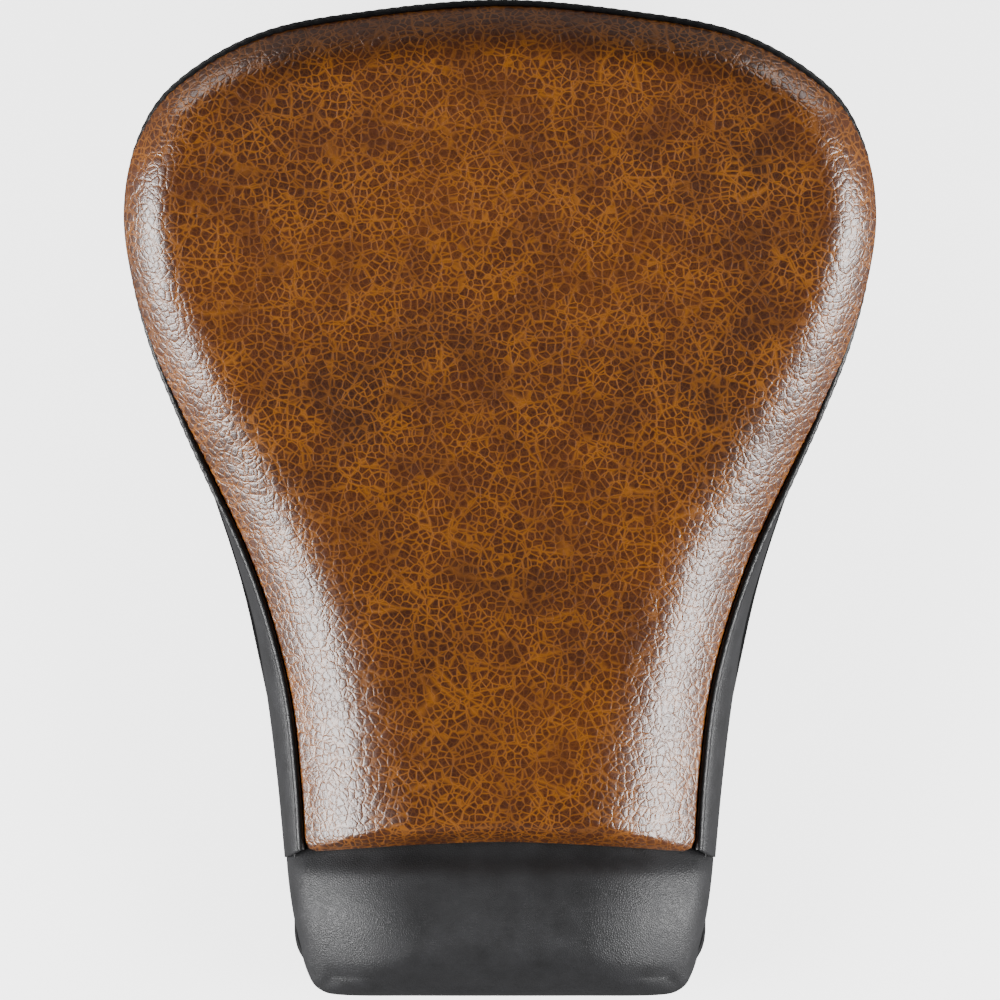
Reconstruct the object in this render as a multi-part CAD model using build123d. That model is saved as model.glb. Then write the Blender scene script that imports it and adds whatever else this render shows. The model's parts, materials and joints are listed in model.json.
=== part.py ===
from build123d import *
import math
import os

# Motorcycle solo seat, in millimetres. +Z is up, the nose points to -Y and the tail to +Y.
# The origin is on the surface that the six rubber bumpers stand on, under the middle of the seat.
# A moulded pan carries a foam bucket. A leather top, two vinyl sides and a vinyl nose are sewn
# into one cover, pulled round the pan's rim and riveted under it. A hook at the nose and a tab
# with a captive screw at the tail hold the seat to the motorcycle.

# ---- driving sizes ----
NOSE_SEAM_Y = -177.0  # where the leather cushion ends and the nose begins
COVER = 2.0  # thickness of the vinyl and leather
COMFORT = 8.0  # sewn-in soft foam under the leather
PAN = 4.0  # wall of the moulded pan
PAN_FRONT_Y = -242.5  # the pan's straight front edge, inside the turned-under nose
HEM = 1.6  # vinyl folded under the pan
HEM_WIDTH = 20.0
TRIM = 1.6  # rubber strip under the hem
TRIM_FROM, TRIM_TO = 1.5, 9.0  # its edges, measured in from the pan's rim
WELT_RADIUS = 2.0
WELT_DOWN = 2.5  # the piping's centre, below the leather's edge
# how far its centre stands out from the straight line between seam and rim, more where the wall swells
WELT_OUT = [
    (-177, 2.95), (-140, 3.95), (-60, 4.0), (20, 4.2), (80, 4.55), (113, 2.9), (146, 2.5), (203, 2.5),
    (226, 2.9), (245, 2.65),
]
GAP = 0.3  # left between soft layers, which only touch on the real seat
LOOSE = 0.15  # radial clearance of rivets and rubber stems
TUNNEL_HALF = 75.0  # half width of the arch over the rear fender
ROLL_POWER = 2.4  # how the cushion's edge rolls off, 2 is a parabola
LOW_PLANE = -20.0  # the side walls are ruled lines, cut between these two heights
HIGH_PLANE = 150.0

# ---- curves along the seat: (place along Y, value) ----
RIM_HEIGHT = [(-250, 24), (-200, 17), (-130, 11), (-20, 8), (80, 10), (150, 17), (216, 30), (260, 41)]
ARCH_HEIGHT = [(-250, 2), (-215, 8), (-178, 16), (-140, 22), (60, 22), (140, 15), (216, 8), (260, 6)]
CUSHION_HEIGHT = [
    (-178, 85), (-130, 86.5), (-60, 86), (0, 88), (60, 94),
    (120, 105), (180, 119), (222, 128), (260, 131),
]
CUSHION_DISH = [(-178, -5), (-60, -3), (60, 1.5), (150, 2.5), (260, 2.5)]  # rise at 100 mm from the middle
EDGE_DROP = [(-178, 26), (-60, 25), (40, 22), (130, 19), (260, 19)]
EDGE_ROLL = [(-178, 52), (-60, 48), (40, 36), (130, 27), (260, 25)]
FRONT_DROP, FRONT_ROLL = 16.0, 15.0
NOSE_HEIGHT = [(-250, 50), (-236, 54.5), (-205, 61), (-176, 66)]
NOSE_DROP, NOSE_ROLL = 15.0, 30.0

# ---- plan outlines, right half, from the tail round to the nose: (x, y) ----
# SEAM is the top edge of the side walls, RIM is the pan's edge. Each pair of points is one ruled line.
SEAM = [
    (0, 244.6), (62, 240.6), (117, 226.6), (156.5, 203), (176.5, 174), (182.8, 146), (181.3, 113), (173, 80),
    (158.5, 45), (141, 9), (125.5, -25), (112, -62), (104, -100), (100, -140), (98, -177),
    (96.5, -200), (92.5, -222), (85, -237), (70, -243), (35, -243.6), (0, -243.8),
]
RIM = [
    (0, 214), (54, 211), (103, 200), (140, 180), (158, 154), (162.5, 128), (162, 98), (159, 68),
    (151.5, 38), (144, 7), (133, -27), (123, -62), (116.5, -100), (111.5, -140), (108, -177),
    (104.5, -201), (100.5, -224), (93, -241), (76, -248.4), (38, -249), (0, -249),
]

# ---- hardware ----
FRONT_PAD = dict(half_width=27.0, y=(-222.0, -176.0), underside=24.4)
HOOK_HALF, HOOK_THICK, HOOK_STEP = 24.0, 3.0, 10.0
HOOK_BACK_Y, HOOK_BEND_Y, HOOK_TIP_Y = -180.0, -219.0, -245.0
FRONT_RIVETS = [(x, y) for x in (-15.0, 15.0) for y in (-211.0, -188.0)]
RIVET_RADIUS, RIVET_HEAD = 2.4, 4.6
BACKING = 2.0  # steel plate on top of the pan, under the four front rivets
REAR_PAD = dict(half_width=18.5, y=(158.0, 207.0), underside=29.0)
TAB_HALF, TAB_THICK, TAB_BACK_Y = 13.0, 3.0, 161.0
TAB_BOLTS = [(0.0, 171.0), (0.0, 193.0)]
BOLT_RADIUS, BOLT_HEAD, BOLT_HEAD_HEIGHT = 3.0, 5.4, 4.0
INSERT_RADIUS, INSERT_LENGTH = 4.5, 5.5
SCREW_Y = 233.5
SCREW_RADIUS, SCREW_END = 3.175, 2.5
GROMMET_BORE, GROMMET_FLANGE, GROMMET_LIP = 3.25, 8.0, 1.2
TAB_HOLE = 5.0
KNOB_RADIUS, KNOB_HEIGHT, KNURLS = 9.5, 11.0, 24
SCREW_LIFT = 7.8
RING_THICK, RING_BORE, RING_OUT, GROOVE_RADIUS = 1.0, 2.58, 5.5, 2.5
BUMPERS = {"front": (74.0, -150.0), "middle": (99.0, -20.0), "rear": (118.0, 112.0)}
BUMPER_RADIUS, STEM_RADIUS, BARB_RADIUS, BARB_HEIGHT = 10.0, 3.5, 5.0, 4.0
COVER_RIVET_RADIUS, COVER_RIVET_HEAD, COVER_RIVET_IN, COVER_RIVETS = 1.6, 3.2, 14.5, 28
FELT = dict(thick=2.5, x=(22.0, 58.0), y=(95.0, 158.0))
VENTS = [(0.0, -120.0), (0.0, -30.0), (0.0, 60.0)]
VENT_RADIUS = 6.0
RIBS = dict(thick=3.0, deep=4.0, x_from=74.0, clear_of_rim=25.0, y=(-100.0, -60.0, 20.0, 60.0))


def curve(table, at):
    """Smooth value at a place, through a table of (place, value), with monotone slopes."""
    places = [p for p, _ in table]
    values = [v for _, v in table]
    at = min(max(at, places[0]), places[-1])
    steps = [b - a for a, b in zip(places, places[1:])]
    rises = [(b - a) / s for a, b, s in zip(values, values[1:], steps)]
    slopes = [rises[0]]
    for before, after in zip(rises, rises[1:]):
        same_way = before * after > 0
        slopes.append(2 * before * after / (before + after) if same_way else 0.0)
    slopes.append(rises[-1])
    i = max(k for k in range(len(steps)) if places[k] <= at)
    t = (at - places[i]) / steps[i]
    return (
        values[i] * (1 + 2 * t) * (1 - t) ** 2
        + slopes[i] * steps[i] * t * (1 - t) ** 2
        + values[i + 1] * t * t * (3 - 2 * t)
        + slopes[i + 1] * steps[i] * t * t * (t - 1)
    )


def both_sides(half):
    """A closed outline from its right half, which starts and ends on the middle line."""
    return half + [(-x, y) for x, y in half[-2:0:-1]]


def inset(outline, amount):
    """The closed outline moved inwards by amount, point by point along its normals."""
    moved = []
    for i, (x, y) in enumerate(outline):
        before = outline[i - 1]
        after = outline[(i + 1) % len(outline)]
        run = math.hypot(after[0] - before[0], after[1] - before[1])
        # the outline runs clockwise seen from above, so inwards is to its right
        across = ((after[1] - before[1]) / run, -(after[0] - before[0]) / run)
        moved.append((x + amount * across[0], y + amount * across[1]))
    return moved


def seam_height(x, y):
    """Height of the cover's top seam over a point of its outline."""
    if y < NOSE_SEAM_Y:
        return curve(NOSE_HEIGHT, y) - NOSE_DROP
    return curve(CUSHION_HEIGHT, y) + dish(x, y) - curve(EDGE_DROP, y)


def dish(x, y):
    return curve(CUSHION_DISH, y) * (x / 100.0) ** 2


def rim_height(y):
    return curve(RIM_HEIGHT, y)


def underside(x, y):
    """Height of the pan's underside: the rim line, with an arch over the fender."""
    share = min(abs(x) / TUNNEL_HALF, 1.0)
    return rim_height(y) + curve(ARCH_HEIGHT, y) * (0.5 + 0.5 * math.cos(math.pi * share))


def at_height(seam, rim, height):
    """Where the wall's ruled line through a seam point and a rim point crosses a height."""
    z_seam, z_rim = seam_height(*seam), rim_height(rim[1])
    t = (height - z_rim) / (z_seam - z_rim)
    return Vector(rim[0] + t * (seam[0] - rim[0]), rim[1] + t * (seam[1] - rim[1]), height)


def envelope(amount):
    """The right half of the seat's side walls as one closed solid, moved inwards by amount."""
    seams = inset(both_sides(SEAM), amount)[: len(SEAM)]
    rims = inset(both_sides(RIM), amount)[: len(RIM)]
    wires = []
    for height in (LOW_PLANE, HIGH_PLANE):
        points = [at_height(s, r, height) for s, r in zip(seams, rims)]
        side = Spline(*points, tangents=[(1, 0, 0), (-1, 0, 0)])
        wires.append(Wire([side, Line(points[-1], points[0])]))
    return Solid.make_loft(wires, ruled=True)


def distance_in(x, y, outline):
    """How far a point lies inside a closed outline, negative when it is outside."""
    nearest, inside = 1e9, False
    for (ax, ay), (bx, by) in zip(outline, outline[1:] + outline[:1]):
        dx, dy = bx - ax, by - ay
        t = min(max(((x - ax) * dx + (y - ay) * dy) / (dx * dx + dy * dy), 0.0), 1.0)
        nearest = min(nearest, math.hypot(x - ax - t * dx, y - ay - t * dy))
        if (ay > y) != (by > y) and x < ax + (y - ay) / (by - ay) * dx:
            inside = not inside
    return nearest if inside else -nearest


def rolled(distance, roll, drop):
    """How far the surface has dropped at a distance from the edge."""
    return drop * max(0.0, 1.0 - distance / roll) ** ROLL_POWER


def fine(outline, per_side=6):
    """The outline's smooth curve as short straight lines."""
    wire = Spline(*[Vector(x, y, 0) for x, y in outline], periodic=True)
    count = per_side * len(outline)
    return [(p.X, p.Y) for p in (wire @ (i / count) for i in range(count))]


# the cushion's sides run on past its front, so that only the front's own roll shapes that edge
CUSHION_SIDES = [p for p in SEAM if p[1] >= NOSE_SEAM_Y] + [(97, -230), (95, -300), (0, -300)]
NOSE_SIDES = [(0, -60), (112, -62), (104, -100), (100, -140)] + [p for p in SEAM if p[1] <= NOSE_SEAM_Y]
CUSHION_LINE = fine(both_sides(CUSHION_SIDES))
NOSE_LINE = fine(both_sides(NOSE_SIDES))


def cushion_top(x, y):
    side = rolled(distance_in(x, y, CUSHION_LINE), curve(EDGE_ROLL, y), curve(EDGE_DROP, y))
    front = rolled(y - NOSE_SEAM_Y, FRONT_ROLL, FRONT_DROP)
    return curve(CUSHION_HEIGHT, y) + dish(x, y) - (side**3 + front**3) ** (1 / 3)


def nose_top(x, y):
    return curve(NOSE_HEIGHT, y) - rolled(distance_in(x, y, NOSE_LINE), NOSE_ROLL, NOSE_DROP)


def spread(low, high, count):
    return [low + (high - low) * i / (count - 1) for i in range(count)]


def surface(height, xs, ys):
    """A smooth face through the heights at a grid of places."""
    grid = [[Vector(x, y, height(x, y)) for x in xs] for y in ys]
    return Face.make_surface_from_array_of_points(grid, tol=0.05)


def slab(face, top, bottom):
    """The solid between a face moved up or down to two heights from where it lies."""
    return Solid.extrude(face.moved(Location((0, 0, top))), Vector(0, 0, bottom - top))


def block(low, high):
    """A box between two corners."""
    size = [h - l for l, h in zip(low, high)]
    return Pos(*low) * Box(*size, align=(Align.MIN, Align.MIN, Align.MIN))


def rod(x, y, low, high, radius):
    """A vertical cylinder between two heights."""
    return Pos(x, y, low) * Cylinder(radius, high - low, align=(Align.CENTER, Align.CENTER, Align.MIN))


def mirrored(shape):
    return mirror(shape, about=Plane.YZ)


# ---- the surfaces everything is cut from, all of them used on the right half only ----
TOP = surface(cushion_top, spread(-24, 204, 20), spread(-185, 265, 34))
NOSE_TOP = surface(nose_top, spread(-24, 126, 13), spread(-270, -168, 12))
UNDER = surface(underside, spread(-36, 210, 16), spread(-275, 270, 24))
OUTER = envelope(0.0)
INNER = envelope(COVER)
CORE = envelope(COVER + GAP)


def below_top(depth):
    return slab(TOP, -depth, -250)


def above_pan(lift):
    """Everything over the pan's underside, from a height above it."""
    return slab(UNDER, lift, lift + 200)


def under_pan(top, bottom):
    """The layer that follows the pan's underside, between two heights from it."""
    return slab(UNDER, top, bottom)


def behind(y):
    return block((-260, y, -60), (260, 300, 260))


def ahead(y):
    return block((-260, -300, -60), (260, y, 260))


def largest(shape):
    return max(shape.solids(), key=lambda solid: solid.volume)


def whole(right):
    """The right half joined to its mirror image."""
    right = largest(right)
    return right + mirrored(right)


# ---- where repeated hardware sits: right half, each with its twin on the left ----
def cover_rivet_places():
    line = inset(both_sides(RIM), COVER_RIVET_IN)[: len(RIM)]
    wire = Wire([Spline(*[Vector(x, y, 0) for x, y in line], tangents=[(1, 0, 0), (-1, 0, 0)])])
    count = COVER_RIVETS // 2
    places = [wire @ ((i + 0.5) / count) for i in range(count)]
    return [(place.X, place.Y) for place in places]


# ---- pan ----
def pan_rib(y):
    rim_x = curve([(ry, rx) for rx, ry in reversed(RIM[4:18])], y)
    low = (RIBS["x_from"], y - RIBS["thick"] / 2, -20)
    high = (rim_x - RIBS["clear_of_rim"], y + RIBS["thick"] / 2, 60)
    return block(low, high) & under_pan(1, -RIBS["deep"])


def pad_block(pad, margin=0.0):
    """The right half of a flat boss under the pan that a steel bracket sits against."""
    low = (0, pad["y"][0] - margin, pad["underside"])
    high = (pad["half_width"] + margin, pad["y"][1] + margin, pad["underside"] + 60)
    return block(low, high) - above_pan(PAN / 2)


def vertical_holes(places, radius):
    return [rod(x, y, -10, 80, radius) for x, y in places]


def seat_pan():
    pan = (CORE & above_pan(0) & behind(PAN_FRONT_Y)) - above_pan(PAN)
    pan = pan + pad_block(FRONT_PAD) + pad_block(REAR_PAD) + [pan_rib(y) for y in RIBS["y"]]
    pan -= vertical_holes(BUMPERS.values(), STEM_RADIUS + LOOSE)
    pan -= vertical_holes(FRONT_RIVETS[2:], RIVET_RADIUS + LOOSE)
    pan -= vertical_holes(cover_rivet_places(), COVER_RIVET_RADIUS + LOOSE)
    pan = whole(pan) - vertical_holes(VENTS, VENT_RADIUS)
    bottom = REAR_PAD["underside"]
    return pan - [rod(x, y, bottom - 1, bottom + INSERT_LENGTH, INSERT_RADIUS) for x, y in TAB_BOLTS]


def cover_rivets():
    """Drive rivets: each has a head under the hem and a shank that ends inside the pan."""
    rivets = []
    for x, y in cover_rivet_places():
        shank = rod(x, y, -20, 80, COVER_RIVET_RADIUS) & under_pan(PAN - 1, -HEM - 0.5)
        head = rod(x, y, -20, 80, COVER_RIVET_HEAD) & under_pan(-HEM - GAP / 2, -HEM - 1.2)
        rivets.append(shank + head)
    return rivets


# ---- foam ----
def foam_bucket():
    step = NOSE_SEAM_Y + COVER + GAP
    foam = (CORE & below_top(COVER + GAP)) - (behind(step) - below_top(COVER + COMFORT + GAP))
    foam = (foam & above_pan(PAN + GAP)) - (slab(NOSE_TOP, -COVER - GAP, 200) & ahead(step))
    pockets = [rod(x, y, 0, 26, BARB_RADIUS + 1) for x, y in BUMPERS.values()]
    low, high = (0, HOOK_BEND_Y - 1, 0), (24, HOOK_BACK_Y + 1, 40)
    return whole(foam - pockets - block(low, high))


def comfort_layer():
    layer = CORE & behind(NOSE_SEAM_Y + COVER + GAP) & below_top(COVER + GAP)
    return whole(layer - below_top(COVER + COMFORT))


# ---- sewn cover ----
def welt_piping():
    """A round vinyl piping along the seam between the leather and the sides."""
    count = len([p for p in SEAM if p[1] >= NOSE_SEAM_Y])
    seam_line, rim_line = both_sides(SEAM), both_sides(RIM)
    right = []
    for i, (_, y) in enumerate(seam_line[:count]):
        out = -curve(WELT_OUT, y)
        seam, rim = inset(seam_line, out)[i], inset(rim_line, out)[i]
        right.append(at_height(seam, rim, seam_height(*seam) - WELT_DOWN))
    left = [Vector(-p.X, p.Y, p.Z) for p in reversed(right[1:])]
    path = Spline(*left, *right)
    return sweep(Plane(origin=path @ 0, z_dir=path % 0) * Circle(WELT_RADIUS), path=path)


def top_cover():
    step = NOSE_SEAM_Y + COVER
    cover = (OUTER & behind(NOSE_SEAM_Y) & below_top(0)) - (below_top(COVER) & behind(step))
    return whole(cover - (slab(NOSE_TOP, -COVER, -250) & ahead(step)))


def wrapped(cover):
    """The wall of the cover and its hem: what is left outside the pan and the foam."""
    deep = envelope(COVER + HEM_WIDTH)
    cover = cover - (INNER & above_pan(-GAP / 2)) - (deep - above_pan(GAP)) - pad_block(REAR_PAD, margin=1.0)
    return cover - vertical_holes(cover_rivet_places(), COVER_RIVET_RADIUS + LOOSE)


def side_cover():
    front = ahead(NOSE_SEAM_Y + COVER + GAP) & slab(NOSE_TOP, -COVER - GAP, 60)
    side = OUTER & behind(NOSE_SEAM_Y + GAP / 2) & block((GAP / 2, -300, -60), (260, 300, 260))
    return largest(wrapped(side & below_top(COVER + GAP) & above_pan(-HEM)) - front)


def nose_cover():
    nose = OUTER & ahead(NOSE_SEAM_Y - GAP / 2) & slab(NOSE_TOP, 0, -200) & above_pan(-HEM)
    inside = INNER & above_pan(-GAP / 2)
    roof = nose - slab(NOSE_TOP, -COVER, -200)
    return whole(wrapped(nose) + (roof & inside))


def pan_edge_strip():
    ring = (envelope(TRIM_FROM) - envelope(TRIM_TO)) & under_pan(-HEM - GAP / 2, -HEM - TRIM)
    return whole(ring - pad_block(REAR_PAD, margin=1.0))


# ---- front hook ----
def front_hook_bracket():
    """A stepped steel strip. Its tongue slides under the motorcycle's frame bracket."""
    top = FRONT_PAD["underside"]
    bend = HOOK_STEP * 0.8
    tongue = top - HOOK_STEP
    upper = [(HOOK_BACK_Y, top), (HOOK_BEND_Y, top), (HOOK_BEND_Y - bend, tongue), (HOOK_TIP_Y, tongue)]
    lower = [(y + (HOOK_THICK * 0.4 if 0 < i < 3 else 0), z - HOOK_THICK) for i, (y, z) in enumerate(upper)]
    lower[1] = (lower[1][0] - HOOK_THICK * 0.8, lower[1][1])
    lower[2] = (lower[2][0] - HOOK_THICK * 0.8, lower[2][1])
    side = make_face(Polyline(*upper, *reversed(lower), close=True))
    strip = extrude(Plane.YZ * side, HOOK_HALF, both=True)
    strip = fillet(strip.edges().filter_by(Axis.Z).group_by(Axis.Y)[0], 9)
    strip = fillet(strip.edges().filter_by(Axis.Z).group_by(Axis.Y)[-1], 5)
    return strip - [rod(x, y, 0, 60, RIVET_RADIUS) for x, y in FRONT_RIVETS]


def front_backing_half():
    half, low, high = 21.0, HOOK_BEND_Y + 1, HOOK_BACK_Y - 1
    plate = block((0, low, 0), (half, high, 80)) & under_pan(PAN + BACKING, PAN + GAP / 2)
    return plate - vertical_holes(FRONT_RIVETS, RIVET_RADIUS + LOOSE)


def front_rivet_halves():
    under = FRONT_PAD["underside"] - HOOK_THICK
    rivets = []
    for x, y in FRONT_RIVETS[2:]:
        shank = rod(x, y, under, 80, RIVET_RADIUS) & under_pan(PAN + BACKING + 1, -60)
        low_head = rod(x, y, under - 1.6, under, RIVET_HEAD)
        top_head = rod(x, y, 0, 80, RIVET_HEAD) & under_pan(PAN + BACKING + 1.6, PAN + BACKING + GAP / 2)
        rivets.append(shank + low_head + top_head)
    return rivets


# ---- rear tab and its captive screw ----
TAB_TOP = REAR_PAD["underside"]
TAB_UNDER = TAB_TOP - TAB_THICK
RING_TOP = TAB_UNDER - GROMMET_LIP - SCREW_LIFT - 0.1


def rear_mount_tab():
    low, high = (-TAB_HALF, TAB_BACK_Y, TAB_UNDER), (TAB_HALF, SCREW_Y, TAB_TOP)
    tab = block(low, high) + rod(0, SCREW_Y, TAB_UNDER, TAB_TOP, TAB_HALF)
    holes = [rod(x, y, 0, 60, BOLT_RADIUS) for x, y in TAB_BOLTS]
    return tab - holes - rod(0, SCREW_Y, 0, 60, TAB_HOLE)


def rear_tab_bolt(x, y):
    head = rod(x, y, TAB_UNDER - BOLT_HEAD_HEIGHT, TAB_UNDER, BOLT_HEAD)
    head = fillet(head.edges().group_by(Axis.Z)[0], 1.4)
    socket = Pos(x, y, TAB_UNDER - BOLT_HEAD_HEIGHT) * extrude(RegularPolygon(2.3, 6), 2.2)
    return head - socket + rod(x, y, TAB_UNDER, TAB_TOP + INSERT_LENGTH - 0.5, BOLT_RADIUS)


def rear_tab_insert(x, y):
    sleeve = rod(x, y, TAB_TOP, TAB_TOP + INSERT_LENGTH, INSERT_RADIUS)
    return sleeve - rod(x, y, TAB_TOP, TAB_TOP + INSERT_LENGTH, BOLT_RADIUS)


def tab_grommet():
    body = rod(0, SCREW_Y, TAB_UNDER, TAB_TOP, TAB_HOLE)
    flanges = [
        rod(0, SCREW_Y, TAB_TOP, TAB_TOP + GROMMET_LIP, GROMMET_FLANGE),
        rod(0, SCREW_Y, TAB_UNDER - GROMMET_LIP, TAB_UNDER, GROMMET_FLANGE),
    ]
    return body + flanges - rod(0, SCREW_Y, 0, 60, GROMMET_BORE)


def hold_down_screw():
    seat = TAB_TOP + GROMMET_LIP + 0.1
    knob = rod(0, SCREW_Y, seat, seat + KNOB_HEIGHT, KNOB_RADIUS)
    knob = fillet(knob.edges().group_by(Axis.Z)[-1], 1.6)
    flutes = []
    for i in range(KNURLS):
        turn = math.radians(360 / KNURLS * i)
        x, y = KNOB_RADIUS * math.cos(turn), SCREW_Y + KNOB_RADIUS * math.sin(turn)
        flutes.append(rod(x, y, seat + 1.5, seat + KNOB_HEIGHT, 0.75))
    slot = block((-KNOB_RADIUS, SCREW_Y - 0.9, seat + KNOB_HEIGHT - 1.8), (KNOB_RADIUS, SCREW_Y + 0.9, 80))
    shank = rod(0, SCREW_Y, SCREW_END, seat, SCREW_RADIUS)
    shank = chamfer(shank.edges().group_by(Axis.Z)[0], 0.8)
    low, high = RING_TOP - RING_THICK - 0.1, RING_TOP + 0.1
    groove = rod(0, SCREW_Y, low, high, SCREW_RADIUS + 1) - rod(0, SCREW_Y, low, high, GROOVE_RADIUS)
    return knob - flutes - slot + shank - groove


def retaining_ring():
    ring = rod(0, SCREW_Y, RING_TOP - RING_THICK, RING_TOP, RING_OUT)
    return ring - rod(0, SCREW_Y, 0, 60, RING_BORE)


# ---- rubber and felt ----
def bumper(x, y):
    foot = rod(x, y, 0, 60, BUMPER_RADIUS)
    foot = fillet(foot.edges().group_by(Axis.Z)[0], 2.0) & under_pan(-GAP / 2, -60)
    stem = rod(x, y, 0, 60, STEM_RADIUS) & under_pan(PAN + 1, -1)
    barb = rod(x, y, 0, 60, BARB_RADIUS) & under_pan(PAN + BARB_HEIGHT, PAN + GAP / 2)
    return foot + stem + barb


def fender_felt():
    (near, far), (low, high) = FELT["x"], FELT["y"]
    return block((near, low, -20), (far, high, 80)) & under_pan(-GAP / 2, -FELT["thick"])


# ---- export ----
def save(name, shape):
    solids = shape if isinstance(shape, list) else shape.solids()
    shape = solids[0] if len(solids) == 1 else Compound(children=solids)
    if not shape.is_valid:
        raise ValueError(f"{name} is not a valid solid")
    export_step(shape, f"parts/{name}.step")
    box = shape.bounding_box()
    print(f"{name}: {len(solids)} solid, {shape.volume / 1000:.1f} cm3, z {box.min.Z:.1f} to {box.max.Z:.1f}")


def save_pair(name, right):
    save(f"{name}_right", right)
    save(f"{name}_left", mirrored(right))


def with_twins(rights):
    return rights + [mirrored(right) for right in rights]


def main():
    os.makedirs("parts", exist_ok=True)
    save("seat_pan", seat_pan())
    save("foam_bucket", foam_bucket())
    save("comfort_layer", comfort_layer())
    save("top_cover", top_cover())
    save_pair("side_cover", side_cover())
    save("nose_cover", nose_cover())
    save("welt_piping", welt_piping())
    save("cover_rivets", with_twins(cover_rivets()))
    save("pan_edge_strip", pan_edge_strip())
    save("front_hook_bracket", front_hook_bracket())
    save("front_backing_plate", whole(front_backing_half()))
    save("front_bracket_rivets", with_twins(front_rivet_halves()))
    save("rear_mount_tab", rear_mount_tab())
    save("rear_tab_bolts", [rear_tab_bolt(x, y) for x, y in TAB_BOLTS])
    save("rear_tab_inserts", [rear_tab_insert(x, y) for x, y in TAB_BOLTS])
    save("tab_grommet", tab_grommet())
    save("hold_down_screw", hold_down_screw())
    save("retaining_ring", retaining_ring())
    for name, (x, y) in BUMPERS.items():
        save_pair(f"bumper_{name}", bumper(x, y))
    save_pair("fender_felt", fender_felt())


main()
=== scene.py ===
# %% [markdown]
# # A motorcycle solo seat
# The metal, rubber and moulded parts come from the CAD frame and only need finishes. The soft parts are
# made here: a padded leather cushion, two vinyl side panels, a vinyl nose, the piping and its stitches.

# %% Load the frame
import json
import math

import bmesh
import bpy
import numpy as np
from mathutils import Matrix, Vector, noise


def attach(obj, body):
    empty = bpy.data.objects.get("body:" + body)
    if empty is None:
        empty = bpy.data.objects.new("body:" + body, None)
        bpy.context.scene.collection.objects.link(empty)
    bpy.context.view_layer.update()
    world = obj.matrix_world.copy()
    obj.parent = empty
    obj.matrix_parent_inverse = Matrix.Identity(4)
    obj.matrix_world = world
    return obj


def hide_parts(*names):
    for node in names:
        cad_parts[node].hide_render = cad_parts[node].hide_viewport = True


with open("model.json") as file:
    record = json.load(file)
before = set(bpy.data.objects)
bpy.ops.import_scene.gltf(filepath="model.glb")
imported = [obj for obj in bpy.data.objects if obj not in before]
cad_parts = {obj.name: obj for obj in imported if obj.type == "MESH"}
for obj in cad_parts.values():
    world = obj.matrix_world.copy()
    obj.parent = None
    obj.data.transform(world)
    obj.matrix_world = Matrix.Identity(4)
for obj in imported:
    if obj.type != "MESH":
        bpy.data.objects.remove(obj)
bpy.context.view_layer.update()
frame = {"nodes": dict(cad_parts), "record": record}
NODES = frame["nodes"]
MM = 0.001

# %% [markdown]
# ## The camera
# The seat is looked at from straight above, with its tail at the top of the picture. A very long lens keeps
# the picture flat.

# %% Camera
PICTURE_WIDTH, LENS, SENSOR = 0.5, 400.0, 36.0
LOOKED_AT_HEIGHT = 0.08

camera = bpy.data.objects.new("camera", bpy.data.cameras.new("camera"))
bpy.context.collection.objects.link(camera)
camera.data.lens, camera.data.sensor_width = LENS, SENSOR
camera.location = (0, 0, LOOKED_AT_HEIGHT + PICTURE_WIDTH * LENS / SENSOR)
camera.data.clip_end = 50
bpy.context.scene.camera = camera


# %% [markdown]
# ## A few helpers for finishes
# A finish is a small network of nodes. One helper adds a node with its settings and its links, and one
# turns a web colour into the linear light values that a shader works in.


# %% Helpers for finishes
def colour(text):
    """An sRGB hex colour as linear light, with alpha."""
    parts = [int(text[i : i + 2], 16) / 255 for i in (1, 3, 5)]
    return [c / 12.92 if c <= 0.04045 else ((c + 0.055) / 1.055) ** 2.4 for c in parts] + [1.0]


def add(tree, kind, settings=None, **inputs):
    """Adds a node. Inputs are values or other nodes' outputs: in0 is the first, and _ stands for a space."""
    node = tree.nodes.new(kind)
    for key, value in (settings or {}).items():
        setattr(node, key, value)
    for key, value in inputs.items():
        by_place = key.startswith("in") and key[2:].isdigit()
        socket = node.inputs[int(key[2:]) if by_place else key.replace("_", " ")]
        if isinstance(value, bpy.types.NodeSocket):
            tree.links.new(value, socket)
        else:
            socket.default_value = value
    return node


def finish_named(name):
    """A new material with its tree, its shader and its object coordinates."""
    material = bpy.data.materials.new(name)
    material.use_nodes = True
    tree = material.node_tree
    shader = tree.nodes["Principled BSDF"]
    place = tree.nodes.new("ShaderNodeTexCoord").outputs["Object"]
    return material, tree, shader, place


def ramp(tree, factor, stops):
    node = add(tree, "ShaderNodeValToRGB", Fac=factor)
    while len(node.color_ramp.elements) < len(stops):
        node.color_ramp.elements.new(0.5)
    for element, (at, shade) in zip(node.color_ramp.elements, stops):
        element.position, element.color = at, shade
    return node.outputs["Color"]


def grey(value):
    return (value, value, value, 1.0)


def per_mm(size):
    """Texture scale for a pattern whose cells are size millimetres across."""
    return 1.0 / (size * MM)


# %% [markdown]
# ## The light
# Two softboxes stand low at the left and the right, a little towards the nose, and draw the long highlights
# where the cushion rolls off. Two weak ones stand beyond the tail corners. The room is pale at the horizon
# and dark overhead, so the flat top of the seat keeps its full colour.

# %% Softboxes and room
def softbox(name, place, target, size, watts):
    lamp = bpy.data.lights.new(name, "AREA")
    lamp.shape, lamp.size, lamp.size_y, lamp.energy = "RECTANGLE", size[0], size[1], watts
    light = bpy.data.objects.new(name, lamp)
    light.location = place
    light.rotation_euler = (Vector(target) - Vector(place)).to_track_quat("-Z", "Y").to_euler()
    light.visible_camera = False
    bpy.context.collection.objects.link(light)
    return light


for hand in (-1, 1):
    softbox("side_softbox", (hand * 1.2, -0.38, 0.48), (0, -0.02, 0.08), (0.62, 0.62), 32)
    softbox("corner_softbox", (hand * 0.95, 1.1, 0.5), (0, 0.1, 0.08), (0.6, 0.5), 4)

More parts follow.
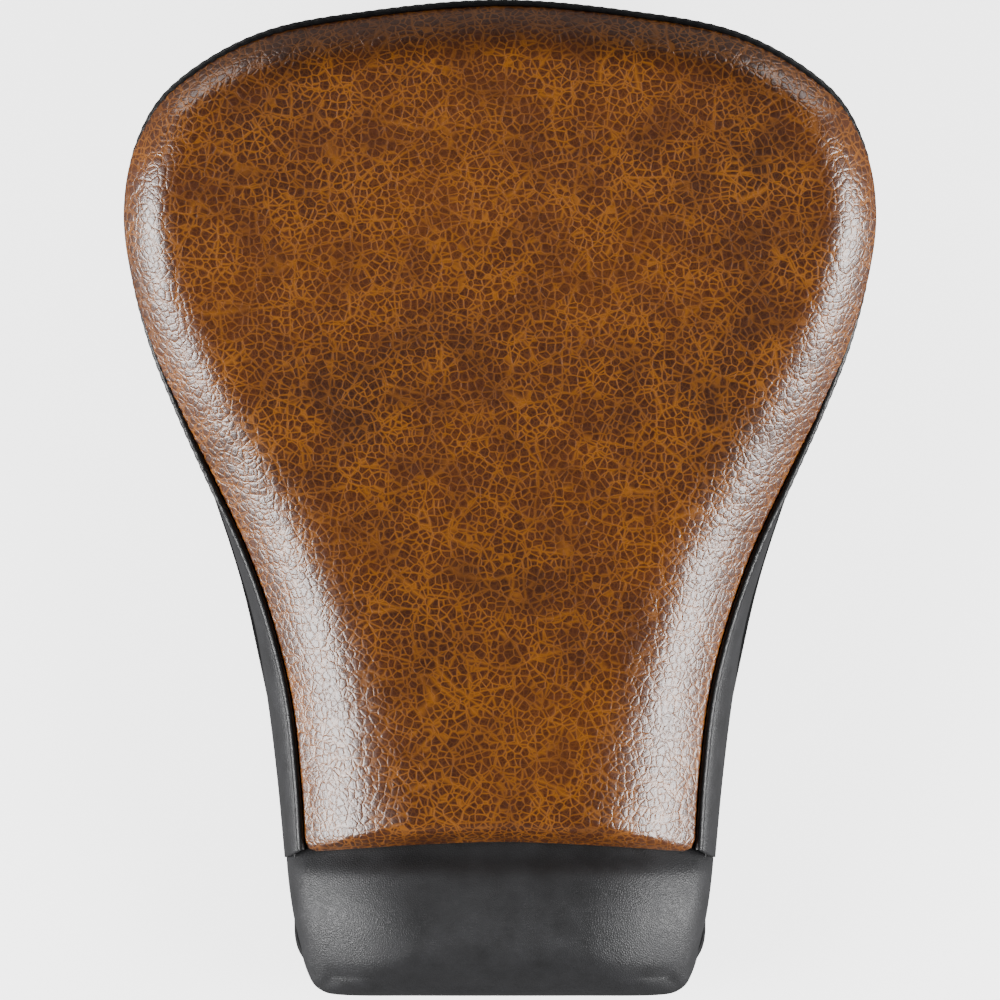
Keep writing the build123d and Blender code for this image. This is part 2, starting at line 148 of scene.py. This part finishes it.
room = bpy.data.worlds.new("studio_room")
bpy.context.scene.world = room
room.use_nodes = True
sky = room.node_tree
upwards = add(sky, "ShaderNodeSeparateXYZ", Vector=sky.nodes.new("ShaderNodeTexCoord").outputs["Generated"])
height_share = add(sky, "ShaderNodeMath", {"operation": "MULTIPLY_ADD"}, in0=upwards.outputs["Z"], in1=0.5,
                   in2=0.5)
room_light = ramp(sky, height_share.outputs[0],
                  [(0.0, grey(0.2)), (0.48, grey(0.28)), (0.58, grey(0.2)), (0.8, grey(0.05))])
sky.links.new(room_light, sky.nodes["Background"].inputs["Color"])

# %% [markdown]
# ## Distressed brown leather
# Drum-tumbled, waxed cowhide: a pebbled grain of 2 to 5 mm, darker on the pebbles and rubbed light tan in
# the creases between them, in patches. Voronoi cells give the pebbles, their edge distance gives the
# creases, and slow noise gives the patches and the mottled dye. The wax keeps it glossy, so the grain also
# breaks up the highlights through the roughness and the bump.

# %% Brown leather
def brown_leather():
    material, tree, shader, place = finish_named("waxed_pull_up_leather")
    warp = add(tree, "ShaderNodeTexNoise", Vector=place, Scale=per_mm(9), Detail=3.0)
    bent = add(tree, "ShaderNodeVectorMath", {"operation": "MULTIPLY_ADD"}, in0=warp.outputs["Color"],
               in1=(0.0022, 0.0022, 0.0022), in2=place).outputs[0]
    coarse = add(tree, "ShaderNodeTexVoronoi", {"feature": "DISTANCE_TO_EDGE"}, Vector=bent,
                 Scale=per_mm(4.0))
    fine = add(tree, "ShaderNodeTexVoronoi", {"feature": "DISTANCE_TO_EDGE"}, Vector=bent,
               Scale=per_mm(2.3))
    cell = add(tree, "ShaderNodeTexVoronoi", {"feature": "F1"}, Vector=bent, Scale=per_mm(4.0))
    long_folds = add(tree, "ShaderNodeTexVoronoi", {"feature": "DISTANCE_TO_EDGE"}, Vector=bent,
                     Scale=per_mm(17))
    dye = add(tree, "ShaderNodeTexNoise", Vector=place, Scale=per_mm(90), Detail=3.0, Roughness=0.5)
    speck = add(tree, "ShaderNodeTexNoise", Vector=place, Scale=per_mm(3.2), Detail=5.0, Roughness=0.7)
    rubbed = add(tree, "ShaderNodeTexNoise", Vector=place, Scale=per_mm(24), Detail=3.0)

    base = ramp(tree, dye.outputs["Fac"],
                [(0.28, colour("#3a1802")), (0.48, colour("#4a2003")), (0.68, colour("#5a2a02"))])
    tone = ramp(tree, speck.outputs["Fac"], [(0.3, grey(0.7)), (0.7, grey(1.2))])
    base = add(tree, "ShaderNodeMixRGB", {"blend_type": "MULTIPLY"}, Fac=0.8, Color1=base,
               Color2=tone).outputs[0]
    shade = ramp(tree, cell.outputs["Color"], [(0.15, grey(0.75)), (0.85, grey(1.1))])
    base = add(tree, "ShaderNodeMixRGB", {"blend_type": "MULTIPLY"}, Fac=0.7, Color1=base,
               Color2=shade).outputs[0]

    lines = ramp(tree, coarse.outputs["Distance"], [(0.0, grey(1)), (0.05, grey(0.7)), (0.13, grey(0))])
    small_lines = ramp(tree, fine.outputs["Distance"], [(0.0, grey(0.25)), (0.15, grey(0))])
    fold_lines = ramp(tree, long_folds.outputs["Distance"], [(0.0, grey(1)), (0.045, grey(0))])
    patches = ramp(tree, rubbed.outputs["Fac"], [(0.32, grey(0.35)), (0.62, grey(0.95))])
    creases = add(tree, "ShaderNodeMixRGB", {"blend_type": "LIGHTEN"}, Fac=1.0, Color1=lines,
                  Color2=small_lines).outputs[0]
    creases = add(tree, "ShaderNodeMixRGB", {"blend_type": "LIGHTEN"}, Fac=1.0, Color1=creases,
                  Color2=fold_lines).outputs[0]
    worn = add(tree, "ShaderNodeMixRGB", {"blend_type": "MULTIPLY"}, Fac=1.0, Color1=creases,
               Color2=patches).outputs[0]
    base = add(tree, "ShaderNodeMixRGB", Fac=worn, Color1=base, Color2=colour("#9c5c14")).outputs[0]
    tree.links.new(base, shader.inputs["Base Color"])

    gloss = ramp(tree, speck.outputs["Fac"], [(0.25, grey(0.36)), (0.8, grey(0.52))])
    tree.links.new(gloss, shader.inputs["Roughness"])
    shader.inputs["IOR"].default_value = 1.5
    shader.inputs["Coat Weight"].default_value = 0.9
    shader.inputs["Coat Roughness"].default_value = 0.22
    shader.inputs["Coat IOR"].default_value = 1.5

    relief = ramp(tree, coarse.outputs["Distance"], [(0.0, grey(0)), (0.16, grey(0.8)), (0.5, grey(1))])
    small = ramp(tree, fine.outputs["Distance"], [(0.0, grey(0)), (0.2, grey(1))])
    folds = ramp(tree, long_folds.outputs["Distance"], [(0.0, grey(0)), (0.1, grey(1))])
    big = add(tree, "ShaderNodeBump", Strength=0.7, Distance=0.0002, Height=relief).outputs[0]
    medium = add(tree, "ShaderNodeBump", Strength=0.5, Distance=0.00008, Height=small,
                 Normal=big).outputs[0]
    last = add(tree, "ShaderNodeBump", Strength=0.5, Distance=0.0002, Height=folds,
               Normal=medium).outputs[0]
    tree.links.new(last, shader.inputs["Normal"])
    tree.links.new(last, shader.inputs["Coat Normal"])
    return material


# %% [markdown]
# ## Vinyl, rubber, plastic, felt and metal
# The charcoal vinyl has an embossed grain about 1 mm across, which breaks a highlight into a satin sheen.
# The hidden parts get the finish of their process: moulded plastic, zinc plate, powder coat, chrome, felt.


# %% Plainer finishes
def grained(name, dark, light, grain, relief, roughness, metallic=0.0, level=0.5):
    """A finish with cells of one size, two shades and one relief in millimetres."""
    material, tree, shader, place = finish_named(name)
    cells = add(tree, "ShaderNodeTexVoronoi", {"feature": "DISTANCE_TO_EDGE"}, Vector=place,
                Scale=per_mm(grain))
    cloud = add(tree, "ShaderNodeTexNoise", Vector=place, Scale=per_mm(grain * 14), Detail=5.0,
                Roughness=0.65)
    base = ramp(tree, cloud.outputs["Fac"], [(0.3, colour(dark)), (0.7, colour(light))])
    # The cells' edges, which the bump makes the grain's low pits, are painted darker: painted shade in the
    # recesses.
    painted_pit_shade = ramp(tree, cells.outputs["Distance"], [(0.0, grey(0.7)), (0.2, grey(1))])
    base = add(tree, "ShaderNodeMixRGB", {"blend_type": "MULTIPLY"}, Fac=0.6, Color1=base,
               Color2=painted_pit_shade).outputs[0]
    tree.links.new(base, shader.inputs["Base Color"])
    rough = ramp(tree, cloud.outputs["Fac"], [(0.3, grey(roughness - 0.06)), (0.7, grey(roughness + 0.06))])
    tree.links.new(rough, shader.inputs["Roughness"])
    height = ramp(tree, cells.outputs["Distance"], [(0.0, grey(0)), (0.3, grey(1))])
    bump = add(tree, "ShaderNodeBump", Strength=0.6, Distance=relief * MM, Height=height).outputs[0]
    tree.links.new(bump, shader.inputs["Normal"])
    shader.inputs["Metallic"].default_value = metallic
    shader.inputs["Specular IOR Level"].default_value = level
    return material


LEATHER = brown_leather()
VINYL = grained("embossed_charcoal_vinyl", "#2c2c2d", "#363638", 1.1, 0.16, 0.48)
PIPING = grained("black_vinyl_piping", "#1d1d1e", "#262627", 0.8, 0.1, 0.36)
THREAD = grained("bonded_polyester_thread", "#2c2c2d", "#3a3a3b", 0.5, 0.1, 0.5)
PAN = grained("moulded_polypropylene", "#1b1b1c", "#242425", 1.4, 0.05, 0.5)
RUBBER = grained("moulded_rubber", "#161617", "#1e1e1f", 1.0, 0.04, 0.62)
POWDER = grained("black_powder_coat", "#151516", "#1c1c1d", 0.7, 0.05, 0.4)
ZINC = grained("zinc_plate", "#a7abac", "#c3c6c4", 2.5, 0.01, 0.34, metallic=1.0)
CHROME = grained("chrome_plate", "#c9cacc", "#dadbdc", 3.0, 0.003, 0.14, metallic=1.0)
BRASS = grained("turned_brass", "#a8813a", "#bd9549", 1.0, 0.01, 0.3, metallic=1.0)
NYLON = grained("black_nylon", "#1a1a1b", "#222223", 1.2, 0.03, 0.45)
FELT = grained("pressed_wool_felt", "#4a4a4c", "#5b5b5e", 0.6, 0.3, 0.95, level=0.1)
FOAM = grained("open_cell_foam", "#8d887c", "#a29c8e", 0.9, 0.3, 0.9, level=0.1)
print("finishes:", len(bpy.data.materials))

# %% [markdown]
# ## The seat's own curves
# Two lines give the plan: the leather's edge and the pan's rim, each as its right half from the tail to the
# nose. Curves along the seat give the heights. They are the CAD model's driving sizes, in millimetres.

# %% Curves
LEATHER_EDGE = [
    (0, 245), (62, 240), (118, 229.2), (161, 204.5), (180.5, 176), (186.8, 146), (184, 115), (174, 79),
    (160, 46), (142, 9.5), (126, -25), (113, -62), (103.8, -100), (99.2, -140), (97, -175.5),
]
RIM = [
    (0, 214), (54, 211), (103, 200), (140, 180), (158, 154), (162.5, 128), (162, 98), (159, 68),
    (151.5, 38), (144, 7), (133, -27), (123, -62), (116.5, -100), (111.5, -140), (107.6, -180.5),
]
NOSE_EDGE = [
    (97.5, -177), (96.5, -200), (92.5, -220), (89, -232), (83.5, -239.5), (72, -242.8), (36, -243.3), (0,
                                                                                                       -243.4),
]
NOSE_RIM = [
    (107, -177), (104.5, -201), (100.3, -223), (96, -238), (90.5, -246), (78, -248.8), (38, -249), (0,
                                                                                                    -249),
]
RIM_HEIGHT = [(-250, 24), (-200, 17), (-130, 11), (-20, 8), (80, 10), (150, 17), (216, 30), (260, 41)]
ARCH_HEIGHT = [(-250, 2), (-215, 8), (-178, 16), (-140, 22), (60, 22), (140, 15), (216, 8), (260, 6)]
CROWN = [(-178, 85), (-130, 86.5), (-60, 86), (0, 88), (60, 94), (120, 105), (180, 119), (222, 128),
         (260, 131)]
DISH = [(-178, -5), (-60, -3), (60, 1.5), (150, 2.5), (260, 2.5)]
EDGE_DROP = [(-178, 26), (-60, 25), (40, 22), (130, 19), (260, 19)]
EDGE_ROLL = [(-178, 66), (-120, 60), (-60, 50), (40, 40), (130, 30), (260, 27)]
NOSE_CROWN = [(-250, 56), (-236, 60), (-210, 64), (-190, 62), (-178, 55), (-160, 46)]
PIPING_OUT = [(-177, 3.0), (0, 3.0), (50, 1.0), (100, -0.8), (146, -2.4), (180, -0.3), (209, 1.0),
              (247, 2.0)]
TUNNEL_HALF = 75.0


def smooth(table, at):
    """Value through a table of (place, value), by monotone cubics."""
    x, y = np.array(table, float).T
    at = np.clip(np.asarray(at, float), x[0], x[-1])
    step = np.diff(x)
    rise = np.diff(y) / step
    product = rise[:-1] * rise[1:]
    total = np.where(rise[:-1] + rise[1:] == 0, 1, rise[:-1] + rise[1:])
    slope = np.concatenate([rise[:1], np.where(product > 0, 2 * product / total, 0), rise[-1:]])
    i = np.clip(np.searchsorted(x, at, side="right") - 1, 0, len(step) - 1)
    t = (at - x[i]) / step[i]
    return (y[i] * (1 + 2 * t) * (1 - t) ** 2 + slope[i] * step[i] * t * (1 - t) ** 2
            + y[i + 1] * t * t * (3 - 2 * t) + slope[i + 1] * step[i] * t * t * (t - 1))


def underside(x, y):
    """Height of the pan's underside, as on the CAD model."""
    share = np.minimum(np.abs(x) / TUNNEL_HALF, 1)
    return smooth(RIM_HEIGHT, y) + smooth(ARCH_HEIGHT, y) * (0.5 + 0.5 * np.cos(np.pi * share))


def through(points, at):
    """A smooth line through points, at places counted in points from the first one."""
    p = np.array(points, float)
    p = np.vstack([2 * p[0] - p[1], p, 2 * p[-1] - p[-2]])
    i = np.clip(np.floor(at).astype(int), 0, len(points) - 2)
    t = (at - i)[:, None]
    a, b, c, d = p[i], p[i + 1], p[i + 2], p[i + 3]
    return 0.5 * (2 * b + (c - a) * t + (2 * a - 5 * b + 4 * c - d) * t**2 + (3 * b - a - 3 * c + d) * t**3)


def left_to_right(half):
    """The whole line, from the left end to the right end, of a half that starts on the middle line."""
    return [(-x, y) for x, y in reversed(half[1:])] + list(half)


def even_places(line, step):
    """Places along a line, counted in its points, that are evenly spaced by about step."""
    fine = np.linspace(0, len(line) - 1, 40 * len(line))
    run = np.concatenate([[0], np.cumsum(np.linalg.norm(np.diff(through(line, fine), axis=0), axis=1))])
    return np.interp(np.linspace(0, run[-1], int(run[-1] / step) + 1), run, fine)


def outward(line):
    """Normals that point to the left of a line's direction."""
    run = np.gradient(line, axis=0)
    run /= np.linalg.norm(run, axis=1)[:, None]
    return np.stack([-run[:, 1], run[:, 0]], axis=1)


def distance_to(line, x, y):
    """Distance from many points to a polyline."""
    a, b = line[:-1], line[1:]
    run = b - a
    result = np.full(len(x), 1e9)
    for start in range(0, len(x), 4000):
        p = np.stack([x[start : start + 4000], y[start : start + 4000]], axis=1)[:, None]
        t = np.clip(((p - a) * run).sum(2) / (run * run).sum(1), 0, 1)
        result[start : start + 4000] = np.linalg.norm(p - a - t[..., None] * run, axis=2).min(1)
    return result


def ring_mesh(name, rings, material, closed, thickness=0.0):
    """A mesh from rings of points in millimetres, each ring as long as the others. It rides on the seat."""
    count, width = len(rings), len(rings[0])
    points = np.concatenate(rings) * MM
    faces = []
    for r in range(count - 1):
        for i in range(width if closed else width - 1):
            j = (i + 1) % width
            faces.append((r * width + i, r * width + j, (r + 1) * width + j, (r + 1) * width + i))
    mesh = bpy.data.meshes.new(name)
    mesh.from_pydata(points.tolist(), [], faces)
    return finish_piece(name, mesh, material, thickness)


def finish_piece(name, mesh, material, thickness=0.0):
    """Closes poles and seams, turns the faces outwards and gives a sheet its thickness."""
    work = bmesh.new()
    work.from_mesh(mesh)
    bmesh.ops.remove_doubles(work, verts=work.verts, dist=0.00002)
    bmesh.ops.dissolve_degenerate(work, dist=0.00001, edges=work.edges)
    if not thickness:
        bmesh.ops.recalc_face_normals(work, faces=work.faces)
    work.to_mesh(mesh)
    work.free()
    mesh.materials.append(material)
    for polygon in mesh.polygons:
        polygon.use_smooth = True
    piece = bpy.data.objects.new(name, mesh)
    bpy.context.collection.objects.link(piece)
    if thickness:
        wall = piece.modifiers.new("thickness", "SOLIDIFY")
        wall.thickness, wall.offset = abs(thickness) * MM, -1.0 if thickness > 0 else 1.0
    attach(piece, "seat")
    print(name, len(mesh.polygons), "faces")
    return piece


# %% [markdown]
# ## The leather cushion
# One padded form, closed all round. Its rings run from a spine on the middle line out to the leather's
# edge, so the grain of the mesh follows the seam, where the puckers are. The height is the seat's crown
# less a roll-off that grows towards the edge. Past the edge the leather tucks under to its seam.

# %% Plan of the cushion
STEP, PUCKER = 1.6, 6.1
sides_at = even_places(left_to_right(LEATHER_EDGE), STEP)
SIDE_EDGE = through(left_to_right(LEATHER_EDGE), sides_at)
SIDE_RIM = through(left_to_right(RIM), sides_at)
SIDE_OUT = outward(SIDE_EDGE)
SIDE_RUN = np.arange(len(SIDE_EDGE)) * STEP


def front_edge(x):
    return -170.7 - 4.1 * (np.abs(x) / 80) ** 1.6


def crown_height(x, y):
    return smooth(CROWN, y) + smooth(DISH, y) * (x / 100) ** 2


def cushion_height(x, y):
    """Top of the leather before its small folds."""
    ends = [SIDE_EDGE[0] + (2.0, -90.0)], [SIDE_EDGE[-1] + (-2.0, -90.0)]
    side_line = np.vstack([ends[0], SIDE_EDGE, ends[1]])[::2]
    beside = np.clip(1 - distance_to(side_line, x, y) / smooth(EDGE_ROLL, y), 0, 1)
    before = np.clip(1 - (y - front_edge(x)) / 14.0, 0, 1)
    drop = ((smooth(EDGE_DROP, y) * beside**2.4) ** 3 + (17.0 * before**2.4) ** 3) ** (1 / 3)
    return crown_height(x, y) - drop


def edge_height(x, y):
    return crown_height(x, y) - smooth(EDGE_DROP, y)


# %% Cushion
def cushion():
    keep = SIDE_EDGE[:, 1] > -171.5
    across = np.arange(92.0, -92.1, -STEP)
    front = np.stack([across, front_edge(across)], axis=1)
    edge = np.vstack([SIDE_EDGE[keep], [(95.6, -174.4)], front, [(-95.6, -174.4)]])
    rim = np.vstack([SIDE_RIM[keep], [(93, -170)], front + (0, 4.0), [(-93, -170)]])
    around = np.roll(edge, 1, axis=0), np.roll(edge, -1, axis=0)
    run = around[1] - around[0]
    run /= np.linalg.norm(run, axis=1)[:, None]
    out = np.stack([-run[:, 1], run[:, 0]], axis=1)
    spine = np.stack([np.zeros(len(edge)), np.clip(edge[:, 1], -110, 125)], axis=1)
    along = np.arange(len(edge)) * STEP
    on_side = np.concatenate([np.ones(keep.sum()), np.zeros(len(edge) - keep.sum())])

    rings = []
    for t in 1 - (1 - np.linspace(0, 1, 74)) ** 1.6:
        place = spine + (edge - spine) * t
        height = cushion_height(place[:, 0], place[:, 1])
        from_edge = np.linalg.norm(edge - place, axis=1)
        pucker = np.cos(2 * np.pi * along / PUCKER) * np.exp(-from_edge / 3.5) * on_side
        soft = np.array([noise.noise(Vector((x / 38, y / 38, 3.1))) for x, y in place])
        small = np.array([noise.noise(Vector((x / 13, y / 13, 8.7))) for x, y in place])
        rings.append(np.column_stack([place, height + 0.9 * soft + 0.22 * small - 0.3 * pucker]))
    last = rings[-1]
    for off, down in ((0.5, -0.9), (0.7, -1.9), (0.3, -2.9), (-0.8, -3.8), (-2.6, -4.6)):
        rings.append(np.column_stack([edge + out * off, last[:, 2] + down]))
    for share in (0.15, 0.5, 0.9):
        place = edge + (rim - edge) * share - out * 6
        rings.append(np.column_stack([place, last[:, 2] * (1 - share) + 40.0 * share - 5]))
    for share in (0.3, 0.7, 1.0):
        place = (rim - out * 6) * (1 - share) + spine * share
        rings.append(np.column_stack([place, np.full(len(edge), 42.0)]))
    piece = ring_mesh("leather_cushion", rings, LEATHER, True)
    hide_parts("top_cover", "comfort_layer", "foam_bucket")


cushion()

# %% [markdown]
# ## Piping and side panels
# The piping is a cord wrapped in vinyl. It lies in the corner between the leather and the side panel, clear
# of the leather at the front and tucked under its bulge where the seat is widest. Each side panel starts
# behind it, swells out like a quarter of an ellipse and folds under the pan's rim.

# %% Piping
PIPING_RADIUS = 2.0
piping_out = smooth(PIPING_OUT, SIDE_EDGE[:, 1])
piping_line = SIDE_EDGE + SIDE_OUT * piping_out[:, None]
piping_height = edge_height(SIDE_EDGE[:, 0], SIDE_EDGE[:, 1]) - 2.2 - 0.9 * np.clip(1 - piping_out, 0, 9)


def piping():
    centre = np.column_stack([piping_line, piping_height])
    along = np.gradient(centre, axis=0)
    along /= np.linalg.norm(along, axis=1)[:, None]
    out = np.column_stack([SIDE_OUT, np.zeros(len(centre))])
    up = np.cross(along, out) * -1
    radius = PIPING_RADIUS * (1 + 0.07 * np.cos(2 * np.pi * SIDE_RUN / PUCKER))
    rings = []
    for turn in np.linspace(0, 2 * math.pi, 15):
        rings.append(centre + (out * math.cos(turn) + up * math.sin(turn)) * radius[:, None])
    piece = ring_mesh("piping", rings, PIPING, False)
    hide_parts("welt_piping")
    return piece


piping()


# %% Side panels
SCREW_HOLLOW = 0.06  # of the wall's height


def soft_step(share):
    share = np.clip(share, 0, 1)
    return share * share * (3 - 2 * share)


def wall_ring(turn):
    """One line of the side panels, from the piping at turn 0 to the rim at a right angle.

    The wall goes out first and then down where it flares, and down first where it tucks in. Behind, it runs
    straight and a little hollow, to leave the hold-down screw room to lift.
    """
    top = SIDE_EDGE + SIDE_OUT * (piping_out - 1.0)[:, None]
    flare = ((SIDE_RIM - SIDE_EDGE) * SIDE_OUT).sum(1)
    bend = soft_step((flare + 4) / 8)
    outwards = bend * math.sin(turn) + (1 - bend) * (1 - math.cos(turn))
    down = bend * (1 - math.cos(turn)) + (1 - bend) * math.sin(turn)

    share = turn / (math.pi / 2)
    behind = soft_step((105 - np.abs(SIDE_EDGE[:, 0])) / 70) * (SIDE_EDGE[:, 1] > 0)
    outwards += behind * (share - outwards)
    down += behind * (share - SCREW_HOLLOW * math.sin(math.pi * share) - down)

    place = top + (SIDE_RIM - top) * outwards[:, None]
    top_height = piping_height - 1.2
    foot_height = underside(SIDE_RIM[:, 0], SIDE_RIM[:, 1]) - 1.6
    return np.column_stack([place, top_height + (foot_height - top_height) * down])


def side_panels():
    rings = [wall_ring(turn) for turn in np.linspace(0, math.pi / 2, 40)]
    rim_out = outward(SIDE_RIM)
    for inwards in (1.2, 4, 8, 12, 16, 20):
        place = SIDE_RIM - rim_out * inwards
        rings.append(np.column_stack([place, underside(place[:, 0], place[:, 1]) - 1.65]))
    middle = len(SIDE_EDGE) // 2
    for hand, part in (("left", slice(0, middle + 1)), ("right", slice(middle, None))):
        panel = ring_mesh(f"side_panel_{hand}", [ring[part] for ring in rings], VINYL, False,
                          thickness=-1.4)
        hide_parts(f"side_cover_{hand}")


side_panels()

# %% [markdown]
# ## The nose
# A low vinyl pad with no piping. Its top rolls off over the last 60 mm to the sides and 22 mm to the front,
# turns over the edge in one sweep and folds sharply at the front.


# %% Nose
def nose_height(x, y):
    """A crown that rolls off to both sides and, more shortly, to the front."""
    half_width = smooth([(y, x) for x, y in reversed(NOSE_EDGE[:5])], y)
    beside = 24.0 * np.clip(1 - np.maximum(half_width - np.abs(x), 0) / 60, 0, 1) ** 2.2
    before = 13.0 * np.clip(1 - np.maximum(y + 243.4, 0) / 22, 0, 1) ** 2.2
    return smooth(NOSE_CROWN, y) - (beside**3 + before**3) ** (1 / 3)


def nose():
    line = [(-97.5, -160)] + [(-x, y) for x,
                              y in NOSE_EDGE][:-1] + list(reversed(NOSE_EDGE)) + [(97.5, -160)]
    foot = [(-107, -160)] + [(-x, y) for x, y in NOSE_RIM][:-1] + list(reversed(NOSE_RIM)) + [(107, -160)]
    at = even_places(line, 1.6)
    edge, rim = through(line, at), through(foot, at)
    out = -outward(edge)
    spine = np.stack([np.zeros(len(edge)), np.clip(edge[:, 1], -214, -160)], axis=1)
    rings = []
    for t in 1 - (1 - np.linspace(0, 1, 44)) ** 1.3:
        place = spine + (edge - spine) * t
        soft = np.array([noise.noise(Vector((x / 30, y / 30, 5.5))) for x, y in place])
        rings.append(np.column_stack([place, nose_height(place[:, 0], place[:, 1]) + 0.4 * soft]))
    top = rings[-1]
    foot_height = underside(rim[:, 0], rim[:, 1]) - 1.6
    gap = np.linalg.norm(rim - edge, axis=1)
    for t in np.linspace(0.08, 1, 14):
        place = edge + (rim - edge) * (1 - (1 - t) ** 2)
        knee = top[:, 2] - 1.1 * gap
        knee = np.maximum(knee, foot_height + 1)
        height = top[:, 2] * (1 - t) ** 2 + 2 * knee * t * (1 - t) + foot_height * t * t
        rings.append(np.column_stack([place, height]))
    for inwards in (1.2, 5, 10, 15, 20):
        place = rim - out * inwards
        rings.append(np.column_stack([place, underside(place[:, 0], place[:, 1]) - 1.65]))
    piece = ring_mesh("nose_pad", rings, VINYL, False, thickness=1.4)
    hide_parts("nose_cover")


nose()

# %% [markdown]
# ## The rubber edge strip
# A flat strip glued under the hem, all round the pan. It follows the same rim as the covers.


# %% Edge strip
def edge_strip():
    nose_line = left_to_right(list(reversed(NOSE_RIM)))
    nose_at = even_places(nose_line, 3.0)
    front = through(nose_line, nose_at)[::-1]
    front = front[(front[:, 1] < -184)]
    rim = np.vstack([SIDE_RIM[2:-2:2], front])
    along = np.roll(rim, -1, axis=0) - np.roll(rim, 1, axis=0)
    along /= np.linalg.norm(along, axis=1)[:, None]
    inwards = np.column_stack([along[:, 1], -along[:, 0]])
    rings = []
    for inset, down in ((1.5, 3.4), (9.0, 3.4), (9.0, 5.0), (1.5, 5.0), (1.5, 3.4)):
        place = rim + inwards * inset
        rings.append(np.column_stack([place, underside(place[:, 0], place[:, 1]) - down]))
    piece = ring_mesh("edge_strip", rings, RUBBER, True)
    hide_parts("pan_edge_strip")


edge_strip()

# %% [markdown]
# ## The topstitch
# One row of stitches holds the seam allowance down along the side panels. The stitch is made once and
# Geometry Nodes puts a copy every few millimetres along the line, turned to follow it.

# %% Topstitch
STITCH_PITCH, STITCH_LENGTH, THREAD_RADIUS = 6.4, 4.8, 0.42


def stitch_tree():
    tree = bpy.data.node_groups.new("row_of_stitches", "GeometryNodeTree")
    for name, kind in (("Geometry", "NodeSocketGeometry"), ("Pitch", "NodeSocketFloat"),
                       ("Length", "NodeSocketFloat"), ("Radius", "NodeSocketFloat")):
        tree.interface.new_socket(name, in_out="INPUT", socket_type=kind)
    tree.interface.new_socket("Geometry", in_out="OUTPUT", socket_type="NodeSocketGeometry")
    inputs = tree.nodes.new("NodeGroupInput").outputs
    curve = add(tree, "GeometryNodeMeshToCurve", Mesh=inputs["Geometry"]).outputs[0]
    points = add(tree, "GeometryNodeCurveToPoints", {"mode": "LENGTH"}, Curve=curve, Length=inputs["Pitch"])
    stitch = add(tree, "GeometryNodeMeshUVSphere", Segments=8, Rings=6, Radius=inputs["Radius"]).outputs[0]
    ratio = add(tree, "ShaderNodeMath", {"operation": "DIVIDE"}, in0=inputs["Length"],
                in1=inputs["Radius"]).outputs[0]
    half = add(tree, "ShaderNodeMath", {"operation": "MULTIPLY"}, in0=ratio, in1=0.5).outputs[0]
    size = add(tree, "ShaderNodeCombineXYZ", X=1.0, Y=1.0, Z=half).outputs[0]
    turn = add(tree, "FunctionNodeAlignRotationToVector", {"axis": "Z"},
               Vector=points.outputs["Tangent"]).outputs[0]
    copies = add(tree, "GeometryNodeInstanceOnPoints", Points=points.outputs["Points"], Instance=stitch,
                 Rotation=turn, Scale=size).outputs[0]
    real = add(tree, "GeometryNodeRealizeInstances", Geometry=copies).outputs[0]
    painted = add(tree, "GeometryNodeSetMaterial", Geometry=real, Material=THREAD).outputs[0]
    tree.links.new(painted, tree.nodes.new("NodeGroupOutput").inputs[0])
    return tree


def topstitch():
    line = wall_ring(math.radians(29))
    out = np.column_stack([SIDE_OUT, np.full(len(line), 0.6)])
    line = (line + out * 0.25) * MM
    mesh = bpy.data.meshes.new("stitch_line")
    mesh.from_pydata(line.tolist(), [(i, i + 1) for i in range(len(line) - 1)], [])
    row = bpy.data.objects.new("stitch_line", mesh)
    bpy.context.collection.objects.link(row)
    tree = stitch_tree()
    nodes = row.modifiers.new("stitches", "NODES")
    nodes.node_group = tree
    sizes = {"Pitch": STITCH_PITCH, "Length": STITCH_LENGTH, "Radius": THREAD_RADIUS}
    for item in tree.interface.items_tree:
        if item.name in sizes and item.in_out == "INPUT":
            nodes[item.identifier] = sizes[item.name] * MM
    evaluated = row.evaluated_get(bpy.context.evaluated_depsgraph_get())
    result = bpy.data.meshes.new_from_object(evaluated)
    bpy.data.objects.remove(row)
    for polygon in result.polygons:
        polygon.use_smooth = True
    piece = bpy.data.objects.new("topstitch", result)
    bpy.context.collection.objects.link(piece)
    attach(piece, "seat")
    print("topstitch:", len(result.polygons), "faces")


topstitch()

# %% [markdown]
# ## Finishes for the CAD pieces
# The pan, the fasteners, the bumpers and the felt keep their CAD shapes. Each gets the finish of its
# process.

# %% Finish the CAD pieces
CAD_FINISH = {
    "pan_plastic": PAN, "foam": FOAM, "comfort_foam": FOAM, "brown_leather": LEATHER, "charcoal_vinyl": VINYL,
    "black_piping": PIPING, "zinc_steel": ZINC, "black_steel": POWDER, "bright_steel": CHROME,
    "brass_insert": BRASS, "nylon_grommet": NYLON, "black_rubber": RUBBER, "grey_felt": FELT,
}
for part in frame["record"]["subparts"]:
    node = NODES[part["node"]]
    node.data.materials.clear()
    node.data.materials.append(CAD_FINISH[part["material_slot"]])
print("CAD pieces finished:", len(NODES))

# %% [markdown]
# ## The floor
# A plain pale floor that glows a little, as a lit sweep table does, so the seat stands clear of it.

# %% Floor
bpy.ops.mesh.primitive_plane_add(size=12, location=(0, 0, -0.0005))
floor = bpy.context.object
floor.name = "floor"
pale, _, floor_shader, _ = finish_named("lit_sweep_table")
floor_shader.inputs["Base Color"].default_value = (0.9, 0.9, 0.9, 1)
floor_shader.inputs["Roughness"].default_value = 0.9
floor_shader.inputs["Emission Color"].default_value = (1, 1, 1, 1)
floor_shader.inputs["Emission Strength"].default_value = 3.0
floor.data.materials.append(pale)
floor.visible_glossy = floor.visible_diffuse = False
